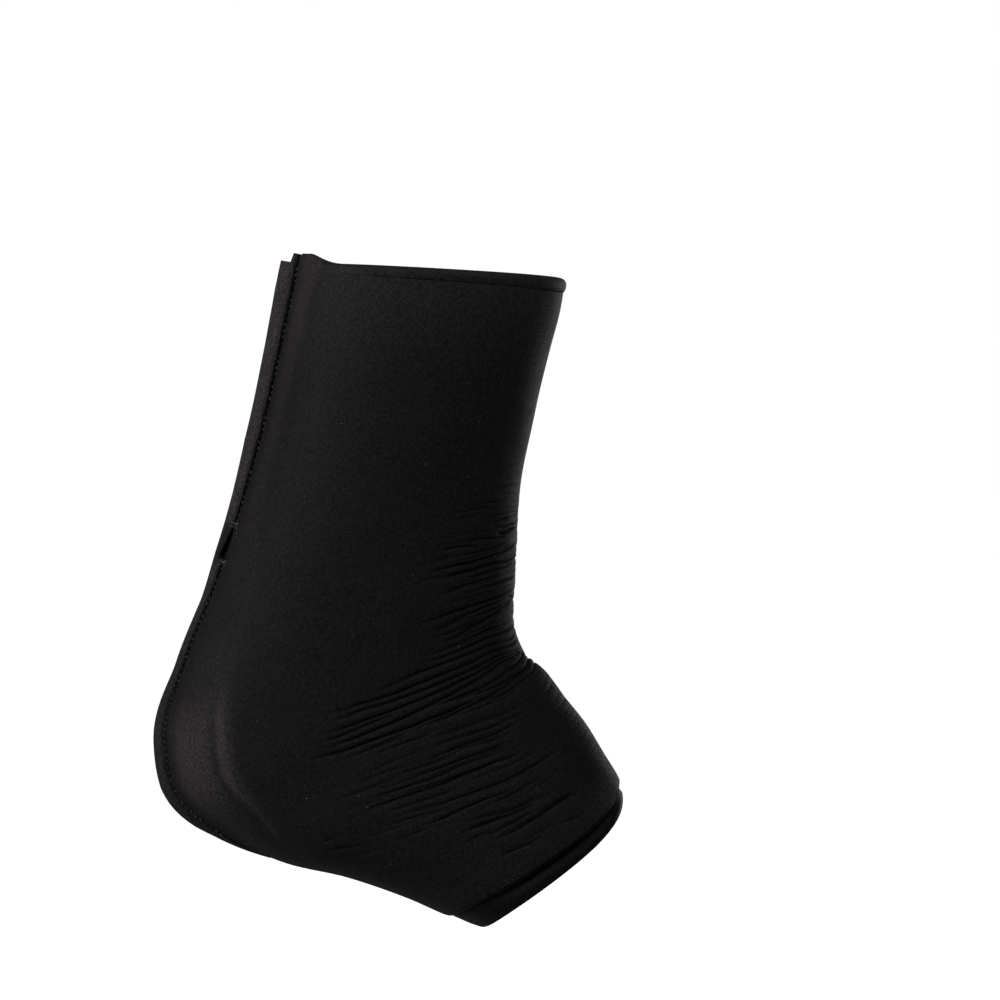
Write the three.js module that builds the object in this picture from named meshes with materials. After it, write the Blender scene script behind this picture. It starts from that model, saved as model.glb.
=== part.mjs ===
// Ankle compression sleeve: a padded stretch-fabric tube, shaped as it is worn.
// It runs from the lower leg, round the heel, to the middle of the foot, with one raised seam down its back.
// Millimetres, +Z up. +X points to the toes, Y runs across the ankle, and the origin is the ankle's centre.
import * as THREE from 'three';

// Sizes of the cloth
const WALL = 3.2; // padded cloth: two stretch faces on a soft core
const PIECE_GAP = 0.3; // between one piece's edge and the next
const CUFF_GAP = 0.6; // halfway down the foot edge, where it leaves 0.3 at the front
const EDGE_ROLL = 0.9; // how far the outer face rounds down at a turned edge
const EDGE_BAND = 1.3; // length of cloth over which it rounds down

// Sizes of the seam and of the hem at the leg
const SEAM_FLANK = 4.5; // how quickly the cloth falls away beside the seam
const SEAM_FLAT = 1.2; // half width of the flat that carries the fin
const RIDGE_FADE = [0.8, 1.2]; // radians from the seam between which its ridge has died out
const PAD_EDGE_SOFT = 0.08; // radians either side of the padding's edge
const HEM_BULGE = 0.8; // how far the leg hem's roll stands proud
const HEM_FADE = [0.7, 1.6]; // radians from the seam between which the roll begins to show
const RIM_PEAK = 4.7; // extra height of the leg hem at the seam
const RIM_FADE = [0.22, 0.84]; // radians from the seam between which that falls away

// How the sides bow and the folds fade
const BOW_SKEW = 0.4; // more bow towards the front, less towards the seam
const BOW_SPREAD = 0.36; // how soon beside the front line the bow begins
const FOLD_FADE = 0.5; // share of a fold's length after which it fades

// How the surfaces are divided
const COLUMNS = 42; // facets round a section
const COLUMN_PULL = [0.3, 0.2]; // draws the columns towards the seam, and away from the sides
const INNER_STEPS = 2; // inner rows between two sections
const SLOPE_STEP = 0.02; // millimetres of cloth or radians, for measuring slopes

// A row for each cross section, from the leg to the toes, in side view:
// its front and back points, half its width, where it is widest (+ is towards the front), how square it is,
// how far its sides bow towards the toes, how far the seam stands up, the place of the padding's edge in
// degrees from the seam, the drop behind that edge, and the number of outer rows up to the next section.
const COLUMN_NAMES = ['frontX', 'frontZ', 'backX', 'backZ', 'half', 'widest', 'square', 'bow',
  'seamRise', 'padEdge', 'padDrop', 'rows'];
const SECTIONS = [
  [70.4, 148.6, -31.2, 154.5, 46.5, 0.00, 0.02, 0.0, 2.0, 32, 0.2, 3], // top of the leg hem
  [69.7, 143.1, -31.9, 150.7, 46.5, 0.00, 0.02, 0.0, 2.0, 29, 0.3, 3], // top of the body
  [64.5, 121.6, -37.6, 123.1, 45.5, 0.00, 0.02, 0.0, 2.2, 25, 0.3, 3],
  [59.0, 98.8, -44.5, 91.6, 44.5, 0.02, 0.02, 0.0, 2.4, 22, 0.3, 8],
  [54.5, 76.0, -53.1, 61.6, 43.0, 0.04, 0.02, 0.5, 2.6, 27, 0.4, 12],
  [52.3, 53.2, -63.3, 31.2, 42.0, 0.06, 0.03, 1.0, 3.0, 37, 0.5, 12],
  [51.6, 32.3, -75.1, 2.1, 41.5, 0.10, 0.03, 1.5, 3.4, 40, 0.9, 10],
  [51.6, 15.4, -82.7, -25.8, 41.0, 0.14, 0.03, 2.0, 3.8, 43, 1.2, 6], // back of the heel
  [55.2, 7.0, -78.5, -45.8, 41.0, 0.14, 0.03, 3.0, 3.8, 41, 1.3, 6],
  [63.3, -0.6, -63.4, -59.0, 41.0, 0.10, 0.03, 4.0, 3.0, 40, 1.0, 6], // under the heel
  [70.9, -10.7, -38.8, -70.2, 41.5, 0.00, 0.03, 5.0, 1.2, 30, 0.3, 6],
  [78.4, -20.4, -14.6, -75.5, 42.0, -0.06, 0.03, 6.0, 0.5, 20, 0.0, 6],
  [85.2, -31.4, 7.6, -83.1, 42.5, -0.08, 0.03, 6.6, 0.3, 20, 0.0, 6],
  [91.4, -42.4, 25.0, -90.7, 43.0, -0.08, 0.03, 6.6, 0.3, 20, 0.0, 3], // the body's edge at the foot
  [92.6, -49.2, 37.6, -95.4, 42.5, -0.08, 0.03, 5.4, 0.0, 20, 0.0, 3], // end of the foot cuff
].map((row) => Object.fromEntries(COLUMN_NAMES.map((name, k) => [name, row[k]])));

// A row for each main fold, in side view: its ends at the front and on the side, its sag, depth and width.
const FOLDS = [
  { front: [53, 66], side: [34, 61], sag: 0.5, depth: 0.5, width: 2.0 },
  { front: [52, 58], side: [28, 53], sag: 0.5, depth: 0.7, width: 2.0 },
  { front: [51, 47], side: [18, 37], sag: 0.6, depth: 0.9, width: 2.0 },
  { front: [50.5, 38], side: [22, 30], sag: 0.6, depth: 0.8, width: 2.0 },
  { front: [50.5, 29], side: [19, 18], sag: 0.8, depth: 1.0, width: 2.0 },
  { front: [50.5, 21], side: [20, 9], sag: 0.8, depth: 0.9, width: 2.0 },
  { front: [50.5, 14], side: [14, -2], sag: 1.0, depth: 1.0, width: 1.8 },
  { front: [51, 9.5], side: [-12, -15], sag: 1.0, depth: 1.0, width: 1.8 },
  { front: [56, 6], side: [-25, -28], sag: 1.5, depth: 0.9, width: 1.8 },
  { front: [59, 1], side: [-28, -35], sag: 2.0, depth: 1.0, width: 1.8 },
  { front: [64, -4], side: [-20, -39], sag: 2.0, depth: 0.7, width: 2.0 },
  { front: [68, -10], side: [0, -41], sag: 2.0, depth: 0.7, width: 2.0 },
  { front: [74, -17], side: [-6, -56], sag: 1.5, depth: 0.7, width: 2.2 },
  { front: [81, -27], side: [20, -60], sag: 1.5, depth: 0.5, width: 2.2 },
];

// A row for each place along the seam's fin, from the leg to under the heel, by section number:
// how far the fin stands out from the stitch line, its thickness, and the depth of the slit in its -Y face.
const FIN = [
  { section: 0.05, stand: 6.8, thick: 2.6, slit: 0 },
  { section: 0.8, stand: 7.0, thick: 2.6, slit: 0 },
  { section: 1.3, stand: 7.2, thick: 2.6, slit: 0 },
  { section: 2.0, stand: 6.5, thick: 2.6, slit: 0 },
  { section: 3.2, stand: 6.0, thick: 2.6, slit: 0 },
  { section: 3.9, stand: 4.8, thick: 2.5, slit: 0 },
  { section: 4.15, stand: 4.5, thick: 2.5, slit: 0 },
  { section: 4.3, stand: 4.4, thick: 2.5, slit: 0.9 },
  { section: 4.6, stand: 4.3, thick: 2.5, slit: 0.9 },
  { section: 4.75, stand: 4.2, thick: 2.5, slit: 0 },
  { section: 5.2, stand: 3.3, thick: 2.5, slit: 0 },
  { section: 6.2, stand: 3.6, thick: 2.5, slit: 0 },
  { section: 7.0, stand: 4.9, thick: 2.5, slit: 0 },
  { section: 7.8, stand: 5.4, thick: 2.5, slit: 0 },
  { section: 8.6, stand: 3.8, thick: 2.3, slit: 0 },
  { section: 9.2, stand: 1.9, thick: 2.0, slit: 0 },
  { section: 9.8, stand: 0.4, thick: 1.2, slit: 0 },
];
const FIN_ROWS_PER_SECTION = 5;
const FIN_SLIT_WIDTH = 1.9; // from the stitch line out
const FIN_SLIT_MOST = 0.55; // and at most this share of the fin's stand
const FIN_SLIT_WALL = 0.3; // over which the slit's outer wall rises
const FIN_ROOT = 0.8; // thickness at the stitch line, as a share of the fin's thickness
const FIN_SHOULDER = [0.85, 0.7]; // share of the stand and of the thickness where the tip starts to round
const FIN_LEAN = 0.5; // how far it leans to +Y for each millimetre that it stands out

/** Length of cloth from the first section to each section, halfway between the front and the back. */
const KNOTS = SECTIONS.reduce((lengths, row, i) => {
  const before = SECTIONS[Math.max(i - 1, 0)];
  const front = Math.hypot(row.frontX - before.frontX, row.frontZ - before.frontZ);
  const back = Math.hypot(row.backX - before.backX, row.backZ - before.backZ);
  return [...lengths, (lengths.at(-1) ?? 0) + (front + back) / 2];
}, []);
const BODY_TOP = KNOTS[1];
const BODY_END = KNOTS.at(-2);
const CUFF_END = KNOTS.at(-1);

/** Rise of one column between two rows of the section table, for each millimetre of cloth. */
const rise = (name, i, j) => (SECTIONS[j][name] - SECTIONS[i][name]) / (KNOTS[j] - KNOTS[i]);

/** Slope of one column at a row, weighted towards the nearer neighbour. */
function slopeAt(name, i) {
  const last = SECTIONS.length - 1;
  if (i === 0 || i === last) {
    return i === 0 ? rise(name, 0, 1) : rise(name, last - 1, last);
  }
  const [before, after] = [KNOTS[i] - KNOTS[i - 1], KNOTS[i + 1] - KNOTS[i]];
  return (rise(name, i - 1, i) * after + rise(name, i, i + 1) * before) / (before + after);
}

/** One column at a place along the cloth: a cubic through the rows, and straight on above the first. */
function column(name, place) {
  const i = THREE.MathUtils.clamp(KNOTS.findLastIndex((knot) => knot <= place), 0, SECTIONS.length - 2);
  const [p1, p2] = [SECTIONS[i][name], SECTIONS[i + 1][name]];
  const span = KNOTS[i + 1] - KNOTS[i];
  const [m1, m2] = [slopeAt(name, i) * span, slopeAt(name, i + 1) * span];
  const f = (place - KNOTS[i]) / span;
  if (f < 0) {
    return p1 + f * m1;
  }
  return p1 + f * (m1 + f * (3 * (p2 - p1) - 2 * m1 - m2 + f * (2 * (p1 - p2) + m1 + m2)));
}

/** The place along the cloth of a section number, which may lie between two rows. */
function placeOf(section) {
  const i = Math.min(Math.floor(section), SECTIONS.length - 2);
  return THREE.MathUtils.lerp(KNOTS[i], KNOTS[i + 1], section - i);
}

/** Rises smoothly from 0 at low to 1 at high. */
const ramp = (value, low, high) => THREE.MathUtils.smoothstep(value, low, high);

/** How far a place round a section is from the seam, in radians. */
const fromSeam = (turn) => Math.abs(Math.PI - turn);

/** Share of the bow at a turn: none at the front, most at the sides nearest it, and less towards the seam. */
function bowShare(turn) {
  const begun = 1 - Math.exp(-((Math.sin(turn / 2) / BOW_SPREAD) ** 2));
  return begun * (1 + BOW_SKEW * Math.cos(turn));
}

/** The smooth form without folds: an egg outline on its slanting, bowed plane. Turn 0 is the front. */
function form(place, turn) {
  const front = new THREE.Vector2(column('frontX', place), column('frontZ', place));
  const back = new THREE.Vector2(column('backX', place), column('backZ', place));
  const across = front.clone().sub(back).normalize();
  back.addScaledVector(across, column('seamRise', place));
  const square = column('square', place);
  const run = (Math.cos(turn) - square * Math.cos(3 * turn)) / (1 - square);
  const side = (Math.sin(turn) + square * Math.sin(3 * turn)) / (1 - square);
  const reach = (run + column('widest', place) * (1 - run * run)) / 2;
  const bow = column('bow', place) * bowShare(turn);
  const length = front.distanceTo(back);
  const middle = front.clone().add(back).multiplyScalar(0.5);
  return new THREE.Vector3(
    middle.x + reach * length * across.x + bow * across.y,
    column('half', place) * side,
    middle.y + reach * length * across.y - bow * across.x,
  );
}

/** The form's outward direction, from its slopes along and round. */
function outward(place, turn) {
  const ahead = Math.min(place + SLOPE_STEP, CUFF_END);
  const along = form(ahead, turn).sub(form(place - SLOPE_STEP, turn));
  const round = form(place, turn + SLOPE_STEP).sub(form(place, turn - SLOPE_STEP));
  return along.cross(round).normalize();
}

/** Depth of all the folds at a point: each is a groove beside a sagging line, fading out at its side end. */
function foldDepth(x, z) {
  return FOLDS.reduce((sum, { front, side, sag, depth, width }) => {
    const [dx, dz] = [side[0] - front[0], side[1] - front[1]];
    const length = Math.hypot(dx, dz);
    const t = ((x - front[0]) * dx + (z - front[1]) * dz) / length ** 2;
    const off = ((x - front[0]) * dz - (z - front[1]) * dx) / length;
    const sagHere = sag * 4 * t * (1 - t);
    return sum + depth * (1 - ramp(t, FOLD_FADE, 1)) * Math.exp(-(((off + sagHere) / width) ** 2));
  }, 0);
}

/** Height of the outer face over the form: the seam's ridge, the drop behind the padding, and the folds. */
function relief(place, turn, at) {
  const isBack = 1 - ramp(fromSeam(turn), ...RIDGE_FADE);
  const fall = Math.exp(-Math.max(Math.abs(at.y) - SEAM_FLAT, 0) / SEAM_FLANK);
  const edge = THREE.MathUtils.degToRad(column('padEdge', place));
  const padded = ramp(fromSeam(turn), edge - PAD_EDGE_SOFT, edge + PAD_EDGE_SOFT);
  const drop = column('padDrop', place) * (1 - padded);
  return column('seamRise', place) * fall * isBack - drop - foldDepth(at.x, at.z);
}

/** The angles round a section, closest together at the seam. */
const TURNS = Array.from({ length: COLUMNS }, (_, k) => {
  const even = (k / COLUMNS) * 2 * Math.PI;
  return even + COLUMN_PULL[0] * Math.sin(even) - COLUMN_PULL[1] * Math.sin(2 * even);
});

/** A closed mesh from rows of points that each run round the object, the last row joined to the first. */
function ringMesh(rows) {
  const count = rows[0].length;
  const index = [];
  rows.forEach((_, r) => {
    const next = (r + 1) % rows.length;
    for (let c = 0; c < count; c += 1) {
      const right = (c + 1) % count;
      const [a, b] = [r * count + c, r * count + right];
      const [d, e] = [next * count + c, next * count + right];
      index.push(a, d, b, b, d, e);
    }
  });
  return meshFrom(rows.flat(), index);
}

/** A buffer geometry from points and triangles. */
function meshFrom(points, index) {
  const geometry = new THREE.BufferGeometry();
  geometry.setAttribute('position', new THREE.Float32BufferAttribute(points.flatMap((p) => p.toArray()), 3));
  geometry.setIndex(index);
  geometry.computeVertexNormals();
  return geometry;
}

/** The places of the rows between two places, with a number of rows for each section. */
function placesBetween(from, to, rowsOf) {
  const places = SECTIONS.slice(0, -1).flatMap((section, i) => {
    const rows = rowsOf(section);
    return Array.from({ length: rows }, (_, k) => placeOf(i + k / rows));
  });
  return places.filter((place) => place > from && place < to);
}

/** A tube of cloth between two places: its outer face with rounded edges, then its inner face back again. */
function clothTube(from, to, height, lift = () => 0) {
  const rowOf = (place, offset) => TURNS.map((turn) => {
    const moved = place - lift(place, turn);
    const at = form(moved, turn);
    return at.clone().addScaledVector(outward(moved, turn), offset(place, turn, at));
  });
  const rolled = (place, turn, at) => height(place, turn, at) - EDGE_ROLL;
  const inner = () => -WALL;
  const [first, last] = [from + EDGE_BAND, to - EDGE_BAND];
  const outerPlaces = [first, ...placesBetween(first, last, (section) => section.rows), last];
  const innerPlaces = [from, ...placesBetween(first, last, () => INNER_STEPS), to];
  return ringMesh([
    rowOf(from, rolled),
    ...outerPlaces.map((place) => rowOf(place, height)),
    rowOf(to, rolled),
    ...innerPlaces.reverse().map((place) => rowOf(place, inner)),
  ]);
}

/** One column of the fin table at a section number, in straight steps between its rows. */
function finColumn(name, section) {
  const i = Math.min(FIN.findLastIndex((row) => row.section <= section), FIN.length - 2);
  const [low, high] = [FIN[i], FIN[i + 1]];
  const share = (section - low.section) / (high.section - low.section);
  return THREE.MathUtils.lerp(low[name], high[name], share);
}

/** The seam's fin: a thin rounded strip along the stitch line, leaning to one side, with closed ends. */
function seamFin() {
  const first = FIN[0].section;
  const last = FIN.at(-1).section;
  const steps = Math.round((last - first) * FIN_ROWS_PER_SECTION);
  const even = Array.from({ length: steps + 1 }, (_, k) => first + ((last - first) * k) / steps);
  const marked = FIN.slice(1, -1).map((row) => row.section);
  const rows = [...even, ...marked].sort((a, b) => a - b).map((section) => {
    const place = placeOf(section);
    const root = form(place, Math.PI);
    const out = outward(place, Math.PI);
    root.addScaledVector(out, relief(place, Math.PI, root) + PIECE_GAP);
    const stand = finColumn('stand', section);
    const half = finColumn('thick', section) / 2;
    const slit = finColumn('slit', section);
    const slitEnd = Math.min(FIN_SLIT_WIDTH, stand * FIN_SLIT_MOST);
    const [shoulder, shoulderHalf] = [stand * FIN_SHOULDER[0], half * FIN_SHOULDER[1]];
    const profile = [
      [0, -half * FIN_ROOT + slit],
      [slitEnd, -half + slit],
      [slitEnd + FIN_SLIT_WALL, -half],
      [shoulder, -shoulderHalf],
      [stand, 0],
      [shoulder, shoulderHalf],
      [slitEnd, half],
      [0, half * FIN_ROOT],
    ];
    return profile.map(([far, y]) => root.clone().addScaledVector(out, far).setY(y + far * FIN_LEAN));
  });
  const count = rows[0].length;
  const index = [];
  for (let r = 0; r + 1 < rows.length; r += 1) {
    for (let c = 0; c < count; c += 1) {
      const [a, b] = [r * count + c, r * count + ((c + 1) % count)];
      index.push(a, b, a + count, b, b + count, a + count);
    }
  }
  const tail = (rows.length - 1) * count;
  for (let c = 1; c + 1 < count; c += 1) {
    index.push(0, c + 1, c, tail, tail + c, tail + c + 1);
  }
  return meshFrom(rows.flat(), index);
}

/** The leg hem's roll: proud in the middle of its height, and flush beside the seam. */
function hemHeight(place, turn, at) {
  const roll = HEM_BULGE * Math.sin((Math.PI * place) / BODY_TOP) * ramp(fromSeam(turn), ...HEM_FADE);
  return relief(place, turn, at) + roll;
}

/** The leg hem's rise to a low peak at the seam. */
function rimLift(place, turn) {
  const upper = 1 - place / BODY_TOP;
  return RIM_PEAK * upper * (1 - ramp(fromSeam(turn), ...RIM_FADE));
}

/** A named mesh in black stretch cloth of its own shade. */
function piece(name, geometry, color, roughness) {
  const material = new THREE.MeshStandardMaterial({ color, roughness, metalness: 0 });
  const mesh = new THREE.Mesh(geometry, material);
  mesh.name = name;
  return mesh;
}

const body = clothTube(BODY_TOP, BODY_END, relief);
const hem = clothTube(0, BODY_TOP - PIECE_GAP, hemHeight, rimLift);
const cuff = clothTube(BODY_END + CUFF_GAP, CUFF_END, relief);
const sleeve = new THREE.Group();
sleeve.add(piece('sleeve_body', body, 0x1c1b1f, 0.85));
sleeve.add(piece('leg_hem', hem, 0x222125, 0.8));
sleeve.add(piece('foot_cuff', cuff, 0x1e1d21, 0.8));
sleeve.add(piece('back_seam', seamFin(), 0x26252a, 0.75));

export default sleeve;
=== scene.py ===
import bpy
import numpy as np
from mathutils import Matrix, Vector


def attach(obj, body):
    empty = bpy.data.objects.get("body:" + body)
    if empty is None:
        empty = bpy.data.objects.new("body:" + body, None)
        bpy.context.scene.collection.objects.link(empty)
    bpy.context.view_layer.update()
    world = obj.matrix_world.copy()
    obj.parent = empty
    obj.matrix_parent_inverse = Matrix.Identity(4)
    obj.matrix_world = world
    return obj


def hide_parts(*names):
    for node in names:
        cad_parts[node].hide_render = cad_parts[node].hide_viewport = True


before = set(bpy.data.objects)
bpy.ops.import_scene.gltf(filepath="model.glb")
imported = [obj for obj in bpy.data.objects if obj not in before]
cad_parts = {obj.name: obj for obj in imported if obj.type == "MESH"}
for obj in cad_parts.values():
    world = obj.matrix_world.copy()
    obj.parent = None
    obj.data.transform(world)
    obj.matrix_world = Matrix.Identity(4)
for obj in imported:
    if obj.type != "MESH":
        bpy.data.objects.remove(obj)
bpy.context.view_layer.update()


# Sleeve body
# The padded tube round the ankle: black nylon and elastane knit on both faces of a soft core, cut as one
# blank. The seam down the back closes it, and it is pulled on, so it lies smooth on the heel and creases at
# the bend.
MM = 0.001  # sizes below are in millimetres, and a mesh is made in metres
WALL = 3.2

# A row for each cross section in side view, from the leg end to the foot end: its front and back points,
# half its width, where it is widest (+ is towards the front), how square it is, how far its sides bow
# towards the foot end, how far the seam stands up, the padding's edge in degrees from the seam, and the drop
# behind that edge.
SECTION_COLUMNS = ("front_x", "front_z", "back_x", "back_z", "half", "widest", "square", "bow",
                   "seam_rise", "pad_edge", "pad_drop")
SECTION_ROWS = np.array([
    [70.4, 148.6, -31.2, 154.5, 46.5, 0.00, 0.02, 0.0, 2.0, 32, 0.2],  # top of the leg hem
    [69.7, 143.1, -31.9, 150.7, 46.5, 0.00, 0.02, 0.0, 2.0, 29, 0.3],  # top of the body
    [64.5, 121.6, -37.6, 123.1, 45.5, 0.00, 0.02, 0.0, 2.2, 25, 0.3],
    [59.0, 98.8, -44.5, 91.6, 44.5, 0.02, 0.02, 0.0, 2.4, 22, 0.3],
    [54.5, 76.0, -53.1, 61.6, 43.0, 0.04, 0.02, 0.5, 2.6, 27, 0.4],
    [52.3, 53.2, -63.3, 31.2, 42.0, 0.06, 0.03, 1.0, 3.0, 37, 0.5],
    [51.6, 32.3, -75.1, 2.1, 41.5, 0.10, 0.03, 1.5, 3.4, 40, 0.9],
    [51.6, 15.4, -82.7, -25.8, 41.0, 0.14, 0.03, 2.0, 3.8, 43, 1.2],  # back of the heel
    [55.2, 7.0, -78.5, -45.8, 41.0, 0.14, 0.03, 3.0, 3.8, 41, 1.3],
    [63.3, -0.6, -63.4, -59.0, 41.0, 0.10, 0.03, 4.0, 3.0, 40, 1.0],  # under the heel
    [70.9, -10.7, -38.8, -70.2, 41.5, 0.00, 0.03, 5.0, 1.2, 30, 0.3],
    [78.4, -20.4, -14.6, -75.5, 42.0, -0.06, 0.03, 6.0, 0.5, 20, 0.0],
    [85.2, -31.4, 7.6, -83.1, 42.5, -0.08, 0.03, 6.6, 0.3, 20, 0.0],
    [91.4, -42.4, 25.0, -90.7, 43.0, -0.08, 0.03, 6.6, 0.3, 20, 0.0],  # the body's edge at the foot
    [92.6, -49.2, 37.6, -95.4, 42.5, -0.08, 0.03, 5.4, 0.0, 20, 0.0],  # end of the foot cuff
])
SECTIONS = dict(zip(SECTION_COLUMNS, SECTION_ROWS.T))
FRONT_STEPS = np.hypot(np.diff(SECTIONS["front_x"]), np.diff(SECTIONS["front_z"]))
BACK_STEPS = np.hypot(np.diff(SECTIONS["back_x"]), np.diff(SECTIONS["back_z"]))
KNOTS = np.append(0, np.cumsum((FRONT_STEPS + BACK_STEPS) / 2))  # length of cloth down to each section
BODY_TOP, BODY_END, CUFF_END = KNOTS[[1, -2, -1]]


def column(name, place):
    """One column of the section table at places along the cloth: a cubic between each two rows.
    The slope at a row leans to the nearer neighbour's, and the curve runs straight on above the first row."""
    values, spans = SECTIONS[name], np.diff(KNOTS)
    rises = np.diff(values) / spans
    middle = (rises[:-1] * spans[1:] + rises[1:] * spans[:-1]) / (spans[:-1] + spans[1:])
    slopes = np.concatenate([rises[:1], middle, rises[-1:]])
    i = np.clip(np.searchsorted(KNOTS, place, side="right") - 1, 0, len(spans) - 1)
    f = (place - KNOTS[i]) / spans[i]
    p1, p2, m1, m2 = values[i], values[i + 1], slopes[i] * spans[i], slopes[i + 1] * spans[i]
    curve = p1 + f * (m1 + f * (3 * (p2 - p1) - 2 * m1 - m2 + f * (2 * (p1 - p2) + m1 + m2)))
    return np.where(f < 0, p1 + f * m1, curve)


def place_of(section):
    """The place along the cloth of a section number, which may lie between two rows."""
    return np.interp(section, np.arange(len(KNOTS)), KNOTS)


def ramp(value, low, high):
    """Rises smoothly from 0 at low to 1 at high: 3 t squared less 2 t cubed."""
    t = np.clip((value - low) / (high - low), 0, 1)
    return t * t * (3 - 2 * t)


def from_seam(turn):
    """How far a turn, measured from the front, is from the seam at half a turn, in radians."""
    return np.abs(np.abs(turn) - np.pi)


def unit(vectors):
    """Vectors at length one."""
    return vectors / np.linalg.norm(vectors, axis=-1, keepdims=True)


BOW_SKEW = 0.4  # more bow towards the front, less towards the seam
BOW_SPREAD = 0.36  # how soon beside the front line the bow begins


def form(place, turn):
    """The smooth form without folds: an egg outline on each section's slanting plane. It is a circle's
    cosine and sine, squared up by their third harmonics, stretched from the back point to the front point
    and to the half width, and its sides bow towards the foot end."""
    place, turn = np.broadcast_arrays(place, turn)
    front = np.stack([column("front_x", place), column("front_z", place)], -1)
    back = np.stack([column("back_x", place), column("back_z", place)], -1)
    across = unit(front - back)
    back = back + across * column("seam_rise", place)[..., None]
    square = column("square", place)
    run = (np.cos(turn) - square * np.cos(3 * turn)) / (1 - square)
    side = (np.sin(turn) + square * np.sin(3 * turn)) / (1 - square)
    reach = (run + column("widest", place) * (1 - run * run)) / 2
    begun = 1 - np.exp(-(np.sin(turn / 2) / BOW_SPREAD) ** 2)
    bow = column("bow", place) * begun * (1 + BOW_SKEW * np.cos(turn))
    length = np.linalg.norm(front - back, axis=-1)
    x, z = ((front + back) / 2 + across * (reach * length)[..., None]).transpose(-1, *range(place.ndim))
    return np.stack([x + bow * across[..., 1], column("half", place) * side, z - bow * across[..., 0]], -1)


SLOPE_STEP = 0.02  # millimetres of cloth, or radians


def outward(place, turn):
    """The form's outward direction: the cross product of its slopes along and round."""
    along = form(np.minimum(place + SLOPE_STEP, CUFF_END), turn) - form(place - SLOPE_STEP, turn)
    across = form(place, turn + SLOPE_STEP) - form(place, turn - SLOPE_STEP)
    return unit(np.cross(along, across))


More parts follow.
